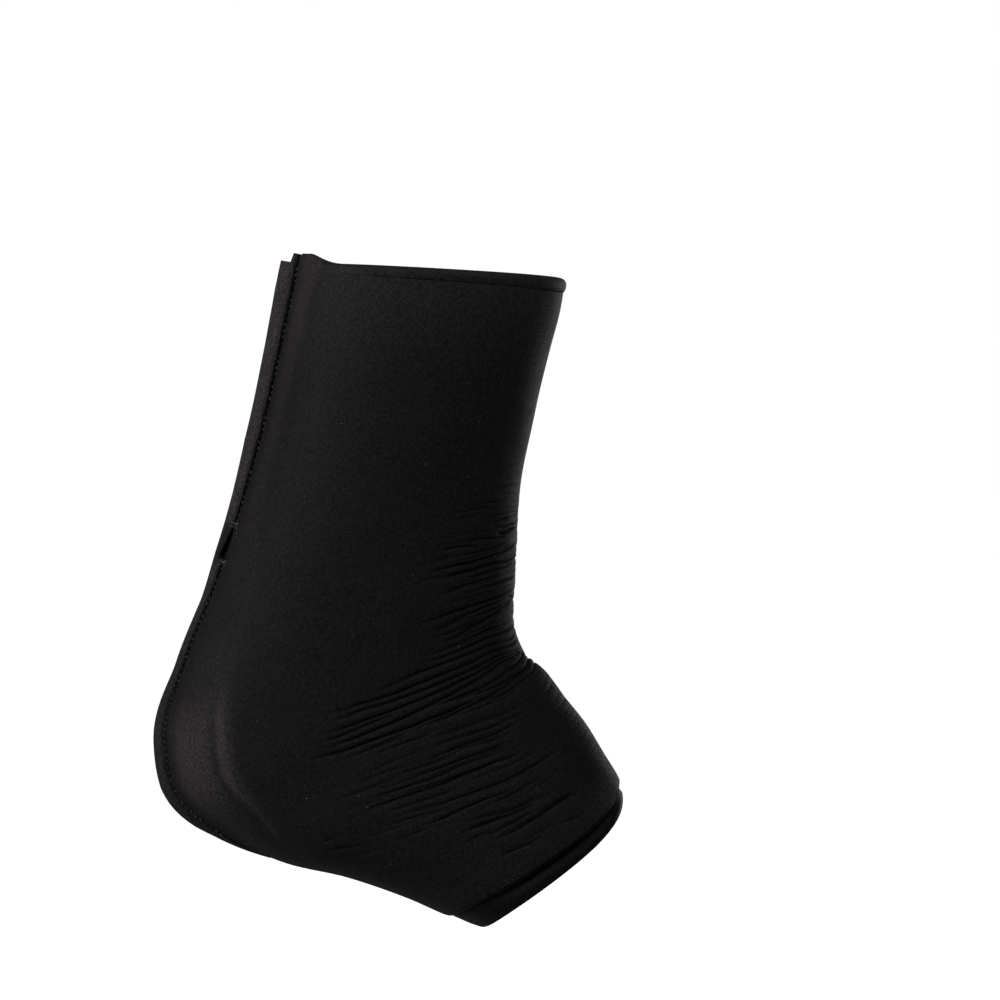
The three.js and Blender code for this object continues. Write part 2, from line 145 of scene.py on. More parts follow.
# A row for each crease in side view: where it starts at the front, a point halfway, where it dies out on
# the side, its depth and its width. They go from the front, through the bend, to the foot end's side.
CREASES = np.array([
    [52.0, 73.5, 49.0, 72.5, 45.5, 71.3, 0.51, 0.30],
    [51.5, 70.2, 47.5, 69.4, 43.0, 68.0, 0.73, 0.30],
    [51.5, 67.3, 48.0, 66.8, 44.0, 66.2, 0.51, 0.30],
    [51.0, 64.6, 46.0, 64.0, 38.0, 63.2, 0.51, 0.30],
    [44.0, 61.8, 36.5, 60.9, 27.5, 59.2, 0.65, 0.31],
    [51.8, 60.3, 46.5, 59.1, 38.5, 57.6, 0.84, 0.28],
    [37.0, 58.4, 33.5, 57.8, 28.0, 56.4, 0.51, 0.30],
    [49.0, 58.0, 46.0, 56.7, 41.8, 55.8, 1.06, 0.27],
    [51.5, 55.6, 47.0, 54.4, 42.5, 54.0, 1.06, 0.27],
    [51.5, 53.6, 48.0, 52.4, 44.5, 52.2, 1.51, 0.27],
    [44.0, 53.4, 39.0, 52.2, 34.0, 51.2, 0.51, 0.30],
    [47.5, 51.0, 40.5, 49.9, 32.0, 48.8, 1.06, 0.30],
    [35.0, 52.3, 31.0, 51.2, 26.0, 49.6, 0.44, 0.30],
    [46.5, 48.5, 40.0, 45.6, 31.5, 43.7, 0.87, 0.30],
    [37.0, 47.1, 30.0, 46.6, 22.0, 44.9, 0.87, 0.30],
    [51.5, 47.6, 37.5, 41.7, 17.5, 36.8, 1.46, 0.30],
    [30.0, 43.5, 23.9, 41.8, 17.0, 39.5, 0.51, 0.30],
    [51.8, 42.8, 38.5, 39.0, 22.0, 33.4, 1.46, 0.30],
    [50.0, 40.5, 43.0, 37.7, 33.0, 35.0, 1.23, 0.28],
    [24.0, 35.5, 19.0, 34.3, 12.0, 31.8, 0.51, 0.30],
    [50.5, 35.2, 45.5, 33.3, 39.0, 30.8, 0.90, 0.28],
    [43.0, 35.3, 34.5, 32.4, 23.0, 27.8, 1.06, 0.30],
    [47.0, 32.0, 38.0, 28.4, 24.0, 24.0, 0.59, 0.31],
    [51.0, 30.2, 36.0, 24.4, 14.5, 17.4, 1.29, 0.30],
    [50.0, 28.0, 35.8, 21.8, 17.0, 13.2, 1.23, 0.30],
    [50.5, 27.6, 43.5, 23.0, 36.5, 20.2, 0.90, 0.27],
    [51.0, 27.0, 40.0, 18.9, 23.5, 10.2, 1.46, 0.30],
    [37.0, 19.6, 30.0, 15.6, 20.0, 12.0, 0.65, 0.30],
    [51.0, 20.5, 44.0, 16.2, 33.0, 11.2, 0.73, 0.30],
    [44.0, 16.0, 33.0, 11.3, 19.0, 5.4, 0.85, 0.28],
    [51.0, 16.6, 36.0, 9.6, 15.5, 1.6, 1.15, 0.28],
    [51.3, 13.0, 24.0, 2.1, -3.5, -8.5, 1.25, 0.28],
    [51.5, 10.9, 15.8, -5.0, -20.5, -17.5, 1.40, 0.28],
    [51.8, 8.4, 17.1, -7.3, -21.0, -20.2, 1.40, 0.28],
    [52.4, 7.9, 14.8, -11.6, -25.0, -24.4, 1.45, 0.28],
    [3.0, -17.8, -10.0, -22.7, -24.0, -28.0, 1.10, 0.28],
    [53.2, 7.4, 16.7, -14.8, -24.0, -30.2, 1.55, 0.28],
    [54.4, 7.2, 44.0, -3.8, 17.0, -15.0, 1.20, 0.27],
    [55.9, 7.0, 50.0, -3.4, 22.0, -13.0, 1.10, 0.27],
    [57.2, 6.3, 44.2, -8.7, 8.0, -24.4, 1.15, 0.27],
    [34.0, -12.6, 8.0, -22.9, -29.0, -35.3, 1.65, 0.29],
    [59.2, 3.8, 53.0, -5.2, 36.0, -14.1, 0.95, 0.28],
    [51.0, -8.0, 41.0, -13.4, 27.0, -18.0, 0.65, 0.28],
    [9.0, -24.0, 3.0, -27.0, -6.0, -30.6, 0.80, 0.28],
    [10.0, -25.0, 0.0, -29.0, -14.0, -33.6, 0.70, 0.30],
    [20.0, -24.2, 11.0, -27.3, -2.0, -32.0, 0.70, 0.30],
    [50.0, -21.0, 40.5, -25.3, 29.0, -29.2, 0.85, 0.30],
    [47.0, -25.0, 38.0, -28.0, 24.0, -31.6, 0.70, 0.30],
    [52.0, -14.5, 38.0, -20.0, 20.0, -26.5, 0.51, 0.33],
    [54.0, -16.5, 38.0, -23.0, 18.0, -29.6, 0.59, 0.33],
    [40.0, -26.3, 28.0, -30.5, 15.5, -35.2, 0.70, 0.28],
    [12.0, -31.8, 4.0, -35.4, -6.0, -39.6, 0.50, 0.28],
    [29.0, -33.0, 18.0, -36.1, 5.0, -40.0, 0.75, 0.28],
    [46.0, -28.4, 30.0, -35.0, 8.5, -40.6, 1.05, 0.28],
    [12.0, -36.2, 2.0, -39.0, -8.0, -43.5, 0.50, 0.30],
    [16.0, -40.0, 7.0, -43.0, -4.0, -46.0, 0.50, 0.28],
    [34.0, -38.9, 24.0, -42.0, 10.0, -46.2, 0.60, 0.28],
    [46.0, -31.0, 21.0, -40.5, -5.5, -49.8, 1.00, 0.28],
    [50.0, -32.6, 21.5, -43.9, -7.0, -54.0, 1.15, 0.28],
    [28.0, -45.4, 17.0, -49.5, 3.0, -54.4, 0.80, 0.28],
    [5.0, -41.5, -4.0, -44.6, -14.0, -49.0, 0.44, 0.30],
    [64.0, -32.6, 37.0, -46.0, 6.0, -55.4, 1.00, 0.28],
    [56.0, -43.6, 49.5, -47.4, 42.0, -50.6, 0.85, 0.28],
    [47.0, -46.3, 33.0, -52.4, 17.0, -59.6, 1.15, 0.28],
    [27.0, -52.2, 16.0, -55.6, 4.0, -58.8, 0.70, 0.28],
    [58.0, -49.3, 47.5, -53.9, 35.0, -56.8, 1.00, 0.28],
    [58.0, -51.2, 47.0, -56.0, 33.5, -60.4, 0.95, 0.28],
    [57.0, -54.6, 52.0, -57.0, 46.0, -59.5, 0.85, 0.28],
    [42.0, -57.4, 37.0, -59.3, 31.0, -61.6, 0.50, 0.28],
    [47.0, -59.8, 43.0, -61.6, 38.5, -63.3, 0.75, 0.28],
    [71.0, -47.8, 58.0, -56.9, 42.5, -64.6, 1.10, 0.28],
    [39.5, -61.6, 36.5, -63.2, 33.5, -64.8, 0.85, 0.28],
    [16.5, -61.2, 12.0, -62.9, 7.0, -64.6, 0.45, 0.28],
    [74.0, -47.2, 69.0, -49.6, 63.5, -53.0, 0.73, 0.33],
    [77.0, -54.8, 72.5, -56.8, 67.0, -59.0, 0.59, 0.33],
    [66.0, -58.0, 61.0, -61.6, 56.0, -64.2, 0.51, 0.31],
    [59.0, -64.6, 54.0, -67.0, 47.0, -70.2, 1.00, 0.28],
    [-17.0, -63.8, -19.0, -64.5, -21.5, -65.8, 0.51, 0.27],
    [-8.0, -66.5, -14.0, -68.0, -21.0, -69.0, 0.73, 0.30],
    [-4.0, -69.5, -9.0, -70.2, -15.0, -71.0, 0.51, 0.30],
])
CREASE_STEPS = 14  # straight steps along its curve
CREASE_REACH = 16.0  # widths beyond which a crease is nothing
CREASE_ROUND = 0.25  # of its width
CREASE_SHARP = 0.72  # share of its depth in the sharp part
CREASE_WIDE = 3.8  # how much wider the wide part is
CREASE_LINE = 1.1  # half width of its bottom line, in widths
CREASE_START = 0.8  # share of its depth at the front
CREASE_FULL = 0.15  # share of its length after which it has its full depth
CREASE_FADE = 0.8  # share of its length after which it dies out


def crease_depth(x, z, creases):
    """Depth of creases at points in side view, and how much of it is at their bottom lines. Each is a
    valley along a parabola through its three points, the sum of a sharp and a wide exponential of the
    distance, so that the cloth between two creases swells into a round fold. It begins lower at the front,
    and dies out towards the end on the side. Its bottom line is a bell curve of the distance."""
    total, lines = np.zeros((2, *x.shape))
    share = np.linspace(0, 1, CREASE_STEPS + 1)[:, None]
    for *places, depth, width in creases:
        front, middle, side = np.reshape(places, (3, 2))
        curve = front + (side - front) * share + (4 * middle - 2 * front - 2 * side) * share * (1 - share)
        room = CREASE_REACH * width
        low, high = curve.min(0) - room, curve.max(0) + room
        near = (x > low[0]) & (x < high[0]) & (z > low[1]) & (z < high[1])
        points = np.stack([x[near], z[near]], -1)[:, None]
        start, step = curve[:-1], np.diff(curve, axis=0)
        along = np.clip(((points - start) * step).sum(-1) / (step ** 2).sum(-1), 0, 1)
        distances = np.linalg.norm(points - start - along[..., None] * step, axis=-1)
        nearest = distances.argmin(1)[:, None]
        distance = np.take_along_axis(distances, nearest, 1)[:, 0] / width
        t = (nearest + np.take_along_axis(along, nearest, 1))[:, 0] / CREASE_STEPS
        rounded = np.sqrt(distance ** 2 + CREASE_ROUND ** 2) - CREASE_ROUND
        valley = CREASE_SHARP * np.exp(-rounded) + (1 - CREASE_SHARP) * np.exp(-rounded / CREASE_WIDE)
        begun = CREASE_START + (1 - CREASE_START) * ramp(t, 0, CREASE_FULL)
        ends = (1 - ramp(t, CREASE_FADE, 1)) * begun
        total[near] += depth * valley * ends
        lines[near] += depth * np.exp(-(distance / CREASE_LINE) ** 2) * ends
    return total, lines


# Runs of finer creases beside them. Each run has a first and a last crease, as in the table above, and a
# number.
CREASE_RUNS = (
    ([53.5, 90.0, 50.5, 89.4, 46.5, 88.6, 0.25, 0.30],
     [51.6, 36.0, 49.0, 35.0, 45.5, 33.5, 0.55, 0.28], 20),
    ([52.0, 74.0, 45.0, 72.6, 35.0, 70.2, 0.25, 0.30],
     [51.5, 52.0, 43.0, 50.2, 30.0, 46.6, 0.40, 0.30], 7),
    ([51.0, 50.0, 42.0, 47.0, 28.0, 42.5, 0.40, 0.30],
     [51.5, 15.5, 40.0, 9.6, 24.0, 2.4, 0.55, 0.30], 13),
    ([62.5, 0.5, 61.0, -4.0, 56.0, -9.5, 0.26, 0.34],
     [82.0, -27.0, 77.0, -31.0, 66.0, -36.0, 0.22, 0.34], 9),
    ([46.0, -15.0, 30.0, -21.0, 8.0, -29.0, 0.35, 0.30],
     [50.0, -33.0, 36.0, -39.5, 18.0, -46.0, 0.40, 0.30], 5),
    ([0.0, -38.0, -10.0, -41.0, -22.0, -45.0, 0.22, 0.30],
     [22.0, -62.0, 8.0, -66.0, -6.0, -70.0, 0.22, 0.30], 7),
    ([58.0, -22.0, 44.0, -28.5, 22.0, -37.0, 0.40, 0.32],
     [72.0, -54.0, 58.0, -61.5, 40.0, -69.5, 0.40, 0.32], 6),
)
RUN_SHIFT = (0.25, 0.75)  # where each crease lies in its share of the run
RUN_CUT = 0.3  # most that is cut off at an end, as a share
RUN_SIZES = ([0.5, 0.8], [1.3, 1.2])  # least and most of its depth and width
chance = np.random.default_rng(11)


def run_of_creases(first, last, count):
    """Creases spread evenly from a first to a last one. By chance each is shifted, cut short at both ends,
    and made deeper or shallower."""
    share = (np.arange(count) + chance.uniform(*RUN_SHIFT, count)) / count
    run = np.array(first) + np.subtract(last, first) * share[:, None]
    cut = chance.uniform(0, RUN_CUT, (count, 2))
    run[:, 0:2] += cut[:, :1] * (run[:, 2:4] - run[:, 0:2])
    run[:, 4:6] += cut[:, 1:] * (run[:, 2:4] - run[:, 4:6])
    run[:, 6:] *= chance.uniform(*RUN_SIZES, (count, 2))
    return run


ALL_CREASES = np.vstack([CREASES, *[run_of_creases(*run) for run in CREASE_RUNS]])
WAVE_COUNT = 9


def waves(points, wavelength, seed):
    """Soft unevenness between about -1 and 1: the sum of sine waves of one length in seeded directions."""
    draw = np.random.default_rng(seed)
    directions = unit(draw.standard_normal((WAVE_COUNT, 3))) * 2 * np.pi / wavelength
    phases = draw.uniform(0, 2 * np.pi, WAVE_COUNT)
    return np.sin(points @ directions.T + phases).sum(-1) / np.sqrt(WAVE_COUNT)


VIEW_FAR = 3000.0  # the table of creases is measured in a side view from this far
VIEW_MIDDLE = (45.6, 64.6)  # and this is the view's middle
CREASE_WOBBLE = 0.35  # how far unevenness pushes a crease off its line
WOBBLE_ALONG, WOBBLE_DOWN = 26, 19  # the lengths of its waves
CREASE_QUIVER = 0.15  # and how far a finer one does
QUIVER_LENGTH = 9
FAR_SHIFT = 2.2  # how far creases lie lower on the inner side of the ankle
FAR_SIDE = (-10, 30)  # across the ankle, between which they come to do so


def creases_at(at):
    """The creases' depth and bottom lines at points on the form, pushed off their curves by soft unevenness.
    A point's place in side view is its distance from the view's middle, larger the nearer it lies."""
    nearer = VIEW_FAR / (VIEW_FAR + at[..., 1])
    side_x = VIEW_MIDDLE[0] + (at[..., 0] - VIEW_MIDDLE[0]) * nearer
    side_x = side_x + CREASE_WOBBLE * waves(at, WOBBLE_ALONG, 3)
    side_z = VIEW_MIDDLE[1] + (at[..., 2] - VIEW_MIDDLE[1]) * nearer
    side_z = side_z + CREASE_WOBBLE * waves(at, WOBBLE_DOWN, 4) + CREASE_QUIVER * waves(at, QUIVER_LENGTH, 6)
    side_z = side_z + FAR_SHIFT * ramp(at[..., 1], *FAR_SIDE)
    return crease_depth(side_x, side_z, ALL_CREASES)


def bell(value, height, middle, spread):
    """A bell curve of a height: an exponential of the squared distance from its middle, in spreads."""
    return height * np.exp(-((value - middle) / spread) ** 2)


SEAM_FLANK = 4.5  # how quickly the cloth falls away beside the seam
SEAM_FLAT = 1.2  # half width of the flat that carries the fin
RIDGE_FADE = (0.8, 1.2)  # radians from the seam between which its ridge has died out
PAD_EDGE_SOFT = 0.04  # radians either side of the padding's edge
PAD_GROOVE = (0.35, -0.07, 0.05)  # behind that edge: share of the drop, and place and spread in radians
UNEVEN = 0.12  # soft dents all over the cloth
DENT_LENGTH = 30
DENT_FADE = (0.1, 0.5)  # radians from the seam between which they begin


def relief(place, turn):
    """Height of the outer face over the form: the seam's ridge, less the drop behind the padding and the
    creases. The ridge falls as an exponential of the distance from the seam."""
    at = form(place, turn)
    away = from_seam(turn) + 0 * place
    ridge = np.exp(-np.maximum(np.abs(at[..., 1]) - SEAM_FLAT, 0) / SEAM_FLANK)
    ridge *= column("seam_rise", place) * (1 - ramp(away, *RIDGE_FADE))
    edge = np.radians(column("pad_edge", place))
    groove = bell(away - edge, *PAD_GROOVE)
    drop = column("pad_drop", place) * (1 - ramp(away, edge - PAD_EDGE_SOFT, edge + PAD_EDGE_SOFT) + groove)
    dents = UNEVEN * waves(at, DENT_LENGTH, 5) * ramp(away, *DENT_FADE)
    return ridge - drop - creases_at(at)[0] + dents


SPACING_STEPS = 4001


def spaced(low, high, count, weight):
    """Values from low to high, closest together where the weight is large: equal shares of its integral."""
    fine = np.linspace(low, high, SPACING_STEPS)
    shares = np.append(0, np.cumsum((weight(fine)[1:] + weight(fine)[:-1]) / 2))
    return np.interp(np.linspace(0, shares[-1], count), shares, fine)


# Where columns of points round the tube lie closer, and how much: weight, radians from the seam, and spread.
CLOSER_COLUMNS = (
    (1.0, 0.0, 0.35),  # beside the seam
    (1.3, 0.7, 0.13),  # at the padding's edge
    (1.0, np.pi, 0.4),  # at the front
)


def column_weight(turn):
    """How close together columns round the tube lie: one, and a bell curve for each place where they lie
    closer."""
    return 1 + sum(bell(from_seam(turn), *closer) for closer in CLOSER_COLUMNS)


COLUMN_COUNT = 156
TURNS = spaced(-np.pi, np.pi, COLUMN_COUNT + 1, column_weight)[:-1]
# How far rows lean along the creases, by section number.
ROW_LEAN = np.interp(np.arange(len(KNOTS)), [5, 6.5, 8, 10, 11, 12, 13], [0, -2.5, 0, 6, 9, 8, 0])
EDGE_ROWS = 8


def cloth_tube(top, end, height, rows, inner_rows, top_edge, end_edge, lift=lambda place, turn: 0 * place):
    """A tube of cloth between two places, as rows of points round it: the outer face, then the inner face
    back. Rows lean along the creases, by the cosine of the turn. Gives the points and their places along
    the cloth. The form is moved out by a height. Each edge is a quarter of an ellipse, with its depth, its
    length and its power, 2 for round and less for a chamfer. Sizes may differ round the tube, and a lift
    moves points along it."""
    quarter = np.linspace(0, np.pi / 2, EDGE_ROWS)[:, None]
    ones = np.ones_like(TURNS)
    edges = (top_edge, end_edge)
    back, up = [[1 - curve(quarter) ** (2 / edge[2]) for edge in edges] for curve in (np.cos, np.sin)]
    top_places = top + top_edge[1] * back[0] * ones
    end_places = end - end_edge[1] * back[1][::-1] * ones
    drops = [top_edge[0] * up[0] * ones, end_edge[0] * up[1][::-1] * ones]
    faces, all_places = [], []
    for places, sign in ((rows, 1), (inner_rows, -1)):
        inside = top_places[-1] + (end_places[0] - top_places[-1]) * places[1:-1, None]
        inside = inside + np.interp(inside, KNOTS, ROW_LEAN) * np.cos(TURNS)
        place = np.vstack([top_places, inside, end_places])
        drop = np.vstack([drops[0], 0 * inside, drops[1]])
        moved = place - lift(place, TURNS)
        level = height(moved, TURNS) - drop if sign > 0 else drop - WALL
        faces.append((form(moved, TURNS) + outward(moved, TURNS) * level[..., None])[::sign])
        all_places.append(place[::sign])
    return np.vstack(faces), np.vstack(all_places)


def laid_flat(points):
    """The cloth laid flat, in metres: lengths round each row from the front line, and along from the first
    row."""
    closed = np.pad(points, ((0, 1), (0, 1), (0, 0)), mode="wrap") * MM
    across = np.cumsum(np.linalg.norm(np.diff(closed, axis=1), axis=-1), axis=1)
    across = np.pad(across, ((0, 0), (1, 0)))
    along = np.pad(np.cumsum(np.linalg.norm(np.diff(closed, axis=0), axis=-1), axis=0), ((1, 0), (0, 0)))
    front = points.shape[1] // 2
    return np.stack([across - across[:, front:front + 1], along], -1)


def piece_of(name, points, faces, material):
    """A smooth mesh piece from points in millimetres, at the origin."""
    mesh = bpy.data.meshes.new(name)
    mesh.from_pydata((points.reshape(-1, 3) * MM).tolist(), [], faces)
    mesh.shade_smooth()
    mesh.materials.append(material)
    piece = bpy.data.objects.new(name, mesh)
    bpy.context.scene.collection.objects.link(piece)
    return piece


CLOTH_MAP = "laid_flat"


def surface(name, points, material, ring=True):
    """A closed piece over a grid of points, with a map of the cloth laid flat.
    Each row is joined round, and the last row to the first, or else a strip of faces closes each end."""
    count, across = points.shape[:2]
    flat = laid_flat(points)
    index = np.arange(count * across).reshape(count, across)
    below = np.roll(index, -1, axis=0)
    quads = np.stack([index, below, np.roll(below, -1, axis=1), np.roll(index, -1, axis=1)], -1)
    corners = np.stack([flat[:-1, :-1], flat[1:, :-1], flat[1:, 1:], flat[:-1, 1:]], 2)
    if not ring:
        half = np.arange(across // 2 - 1)
        strip = np.stack([half, half + 1, across - 2 - half, across - 1 - half], -1)
        ends = [(0, strip), (count - 1, strip[:, ::-1])]
        caps = [index[row][cap] for row, cap in ends]
        cap_corners = [flat[row, :-1][cap] for row, cap in ends]
        quads = np.concatenate([quads[:-1].reshape(-1, 4), *caps])
        corners = np.concatenate([corners[:-1].reshape(-1, 4, 2), *cap_corners])
    piece = piece_of(name, points, quads.reshape(-1, 4).tolist(), material)
    piece.data.uv_layers.new(name=CLOTH_MAP).data.foreach_set("uv", corners.ravel())
    return piece


def linear(colour):
    """An sRGB hex colour as linear red, green and blue with full alpha: each channel's gamma curve undone."""
    channels = np.array([int(colour[i:i + 2], 16) for i in (1, 3, 5)]) / 255
    curved = ((channels + 0.055) / 1.055) ** 2.4
    return (*np.where(channels <= 0.04045, channels / 12.92, curved), 1.0)


def node(tree, kind, inputs, **settings):
    """Adds a node with its settings. Each input is linked where it is a socket, and set where it is a
    value."""
    made = tree.nodes.new(kind)
    for name, value in settings.items():
        setattr(made, name, value)
    for name, value in inputs.items():
        if isinstance(value, bpy.types.NodeSocket):
            tree.links.new(value, made.inputs[name])
        else:
            made.inputs[name].default_value = value
    return made


FIBRE = 1.0  # size of the loose fibre's tufts
CLOUD = 22  # size of the soft changes of colour
LINT_APART, LINT_SIZE, LINT_SHARE = 9, 0.034, 0.9  # specks of lint: spacing, size and the share that has none
GAPS_APART, GAP_SIZE, GAP_SHARE = 1.3, 0.2, 0.6  # gaps in stretched knit: the same
LINT_GREY = "#626062"
# black for painted shade in grooves, creases and openings
ELASTANE_GREY = "#383739"
PAINTED_SHADE_BLACK = "#030303"


def knit(name, yarn, worn, pale, wale, course, stitch_depth, roughness, sheen):
    """Weft-knitted nylon and elastane. Columns of V-shaped loops, one wale wide and one course high, stand up
    between narrow furrows, and loose fibre and lint lie on them. The colour shifts softly from yarn to worn.
    Where the heel stretches the knit it is paler, and that paleness is also painted sheen, with painted shade
    and a painted highlight along the padding's edge; painted light makes it paler at the top of the leg and
    on the instep.
    Near the foot's edge its elastane shows as pale specks. In grooves, creases and openings painted shade
    darkens it to the yarn's full black."""
    material = bpy.data.materials.new(name)
    material.use_nodes = True
    tree = material.node_tree
    shader = tree.nodes["Principled BSDF"]
    flat = node(tree, "ShaderNodeUVMap", {}, uv_map=CLOTH_MAP).outputs[0]
    per_loop = (1 / (wale * MM), 1 / (course * MM), 1)
    loops = node(tree, "ShaderNodeVectorMath", {0: flat, 1: per_loop}, operation="MULTIPLY").outputs[0]
    parts = node(tree, "ShaderNodeSeparateXYZ", {0: loops}).outputs
    arm = node(tree, "ShaderNodeMath", {0: parts["X"], 1: 0.5}, operation="PINGPONG").outputs[0]
    lean = node(tree, "ShaderNodeMath", {0: parts["Y"], 1: arm}, operation="ADD").outputs[0]
    turn = node(tree, "ShaderNodeMath", {0: lean, 1: 2 * np.pi}, operation="MULTIPLY").outputs[0]
    ring = node(tree, "ShaderNodeMath", {0: turn}, operation="SINE").outputs[0]
    lifted = node(tree, "ShaderNodeMath", {0: ring, 1: 0.35, 2: 0.65}, operation="MULTIPLY_ADD").outputs[0]
    furrow = node(tree, "ShaderNodeMath", {0: arm, 1: 0.5}, operation="POWER").outputs[0]
    loop = node(tree, "ShaderNodeMath", {0: furrow, 1: lifted}, operation="MULTIPLY").outputs[0]
    place = node(tree, "ShaderNodeTexCoord", {}).outputs["Object"]
    fibre = node(tree, "ShaderNodeTexNoise",
                 {"Vector": place, "Scale": 1 / (FIBRE * MM), "Detail": 3.0, "Roughness": 0.7}).outputs[0]
    height = node(tree, "ShaderNodeMath", {0: fibre, 1: 0.7, 2: loop}, operation="MULTIPLY_ADD").outputs[0]
    bump = node(tree, "ShaderNodeBump", {"Height": height, "Strength": 0.8, "Distance": stitch_depth * MM})
    cloud = node(tree, "ShaderNodeTexNoise",
                 {"Vector": place, "Scale": 1 / (CLOUD * MM), "Detail": 4.0, "Roughness": 0.55}).outputs[0]
    even = node(tree, "ShaderNodeMix", {0: cloud, 6: linear(yarn), 7: linear(worn)}, data_type="RGBA")
    # Paler stretched knit, with painted sheen and painted light, by a stored share
    heel = node(tree, "ShaderNodeAttribute", {}, attribute_name="stretch_and_painted_light").outputs["Fac"]
    shade = node(tree, "ShaderNodeMix", {0: heel, 6: even.outputs[2], 7: linear(pale)}, data_type="RGBA")
    grain = node(tree, "ShaderNodeMapRange", {0: fibre, 1: 0.3, 2: 0.7, 3: 0.3, 4: 1.7}).outputs[0]
    speckled = node(tree, "ShaderNodeVectorMath", {0: shade.outputs[2], "Scale": grain}, operation="SCALE")
    cells = node(tree, "ShaderNodeTexVoronoi", {"Vector": flat, "Scale": 1 / (LINT_APART * MM)},
                 voronoi_dimensions="2D").outputs
    lot = node(tree, "ShaderNodeSeparateXYZ", {0: cells["Color"]}).outputs[0]
    size = node(tree, "ShaderNodeMapRange", {0: lot, 1: LINT_SHARE, 2: 1.0, 3: 0.0, 4: LINT_SIZE}).outputs[0]
    lint = node(tree, "ShaderNodeMath", {0: cells["Distance"], 1: size}, operation="LESS_THAN").outputs[0]
    foot = node(tree, "ShaderNodeAttribute", {}, attribute_name="foot_stretch").outputs["Fac"]
    stretched = node(tree, "ShaderNodeMath", {0: foot, 1: GAP_SIZE}, operation="MULTIPLY").outputs[0]
    gaps = node(tree, "ShaderNodeTexVoronoi", {"Vector": flat, "Scale": 1 / (GAPS_APART * MM)},
                voronoi_dimensions="2D").outputs
    wide = node(tree, "ShaderNodeMath", {0: gaps["Distance"], 1: stretched}, operation="LESS_THAN").outputs[0]
    chosen = node(tree, "ShaderNodeSeparateXYZ", {0: gaps["Color"]}).outputs[1]
    often = node(tree, "ShaderNodeMath", {0: chosen, 1: GAP_SHARE}, operation="GREATER_THAN").outputs[0]
    elastane = node(tree, "ShaderNodeMath", {0: wide, 1: often}, operation="MULTIPLY").outputs[0]
    # Painted shade: grooves, creases and openings darkened to black by a stored share.
    painted_shade = node(tree, "ShaderNodeAttribute", {}, attribute_name="painted_groove_shade").outputs["Fac"]
    colour = speckled.outputs[0]
    for share, over in ((elastane, ELASTANE_GREY), (lint, LINT_GREY), (painted_shade, PAINTED_SHADE_BLACK)):
        mixed = node(tree, "ShaderNodeMix", {0: share, 6: colour, 7: linear(over)}, data_type="RGBA")
        colour = mixed.outputs[2]
    smooth, rough = roughness - 0.05, roughness + 0.05
    gloss = node(tree, "ShaderNodeMapRange", {0: cloud, 1: 0.3, 2: 0.7, 3: smooth, 4: rough})
    for socket, output in (("Base Color", colour), ("Roughness", gloss.outputs[0]),
                           ("Normal", bump.outputs[0])):
        tree.links.new(output, shader.inputs[socket])
    shader.inputs["IOR"].default_value = 1.5
    shader.inputs["Specular IOR Level"].default_value = 0.055
    shader.inputs["Sheen Weight"].default_value = sheen
    shader.inputs["Sheen Roughness"].default_value = 0.45
    shader.inputs["Sheen Tint"].default_value = linear("#d0c8cc")
    return material


# The face knit is fine and matt black, with a faint violet sheen where it turns away. Its loops are about
# 0.5 mm wide, and are drawn 0.8 mm wide so that they show.
face_knit = knit("black_nylon_elastane_knit", "#151314", "#1a1819", "#2e2b2d", 0.8, 0.6, 0.14, 0.6, 0.008)

# Rows of the outer face lie closest where the creases are.
creased = np.interp(np.arange(len(KNOTS)), [0, 3, 4, 5, 10, 12, 14], [0.12, 0.16, 0.7, 1.0, 1.0, 0.8, 0.6])
BODY_ROWS, INNER_ROWS = 570, 40
places = spaced(BODY_TOP, BODY_END, BODY_ROWS, lambda place: np.interp(place, KNOTS, creased))
body_rows = (places - BODY_TOP) / (BODY_END - BODY_TOP)
TOP_GROOVE = 0.3  # how deep and long the body rounds over under the hem
HEM_FADE = (0.7, 1.6)  # radians from the seam between which the hem's groove and roll begin to show
hem_shows = ramp(from_seam(TURNS), *HEM_FADE)
UNDER_FOOT = (1.7, 2.4)  # radians from the front between which the cloth comes to lie under the foot
under_foot = ramp(np.abs(TURNS), *UNDER_FOOT)
fold_reach = 1.6 * (1 - under_foot)  # how far the turned edge at the foot reaches over the cuff
foot_fold = 2.4 - 1.4 * under_foot  # its depth, less under the foot
FOLD_LENGTH, FOLD_POWER = 3.0, 1.8  # and how it rounds over
body_points, body_places = cloth_tube(
    BODY_TOP, BODY_END + fold_reach, relief, body_rows, np.linspace(0, 1, INNER_ROWS),
    (TOP_GROOVE * hem_shows, TOP_GROOVE, 2), (foot_fold, FOLD_LENGTH, FOLD_POWER))
body = surface("sleeve_body_cloth", body_points, face_knit)
STRETCH_AND_PAINTED_SHEEN = np.array([  # section, and share of paler stretched knit that is also painted sheen
    [0, 0.5], [2, 0.4], [3.5, 0.25], [5.5, 0.12], [6.4, 0.25], [7.0, 0.85], [7.3, 0.95], [8, 0.85],
    [8.8, 0.25], [9.6, 0],
])
SEAM_PALE = (0.02, 0.25)  # radians from the seam between which the paleness and its painted sheen begin to show
PAD_FADE = (0.0, 0.14)  # radians beyond the padding's edge between which it dies out
HEEL_BEGINS = (6.4, 7.1)  # sections
HEEL_VALLEY_SHADE = (0.7, -0.075, 0.035)  # painted shade in a valley behind the padding: share, place and spread in radians
HEEL_HIGHLIGHT = (1.1, 0.0, 0.024)  # and a painted highlight along that edge
LEG_PAINTED_LIGHT = 0.25  # painted light all round the top of the leg
LEG_ENDS = 2.6  # section
INSTEP_BEGINS = (-18, -3)  # painted light on the instep, along the cloth from the foot's edge
INSTEP_SIDES = (0.4, 1.1)  # radians from the front
FOOT_BEGINS = (-20, -3)
FOOT_SIDES = (1.2, 1.9)
